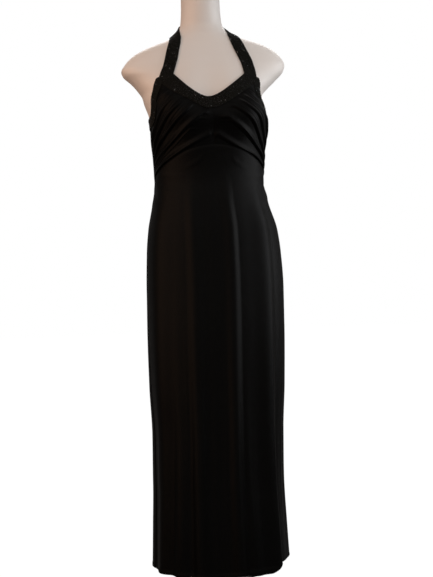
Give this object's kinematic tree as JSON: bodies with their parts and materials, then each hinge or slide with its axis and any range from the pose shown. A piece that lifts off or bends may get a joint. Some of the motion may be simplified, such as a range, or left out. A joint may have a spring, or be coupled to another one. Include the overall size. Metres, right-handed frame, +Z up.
{
  "type": "halter maxi dress on a limbless dress form",
  "caption": "Floor-length halter dress with a beaded neckline trim and a draped bodice, worn by a limbless dress form on a pole and a round base.",
  "frame": {"origin": "centre of the underside of the stand's round base, on the floor", "axes": "+Z up along the pole, -Y towards the viewer (the front of the dress), +X towards the wearer's left"},
  "size_m": [0.4312, 0.3103, 1.5153],
  "materials": {
    "jersey": "matte",
    "beaded_trim": "beaded",
    "form_skin": "satin",
    "form_cap": "satin",
    "stand_metal": "brushed"
  },
  "bodies": {
    "root": {"skirt_front": "jersey", "back_panel": "jersey", "bodice_drape_left": "jersey", "bodice_drape_right": "jersey", "neck_trim_left": "beaded_trim", "neck_trim_right": "beaded_trim", "armhole_trim_left": "beaded_trim", "armhole_trim_right": "beaded_trim", "back_trim": "beaded_trim", "halter_strap_left": "beaded_trim", "halter_strap_right": "beaded_trim", "form_torso": "form_skin", "neck_cap": "form_cap", "form_socket": "stand_metal", "stand_pole": "stand_metal", "stand_collar": "stand_metal", "stand_base": "stand_metal"}
  },
  "joints": []
}
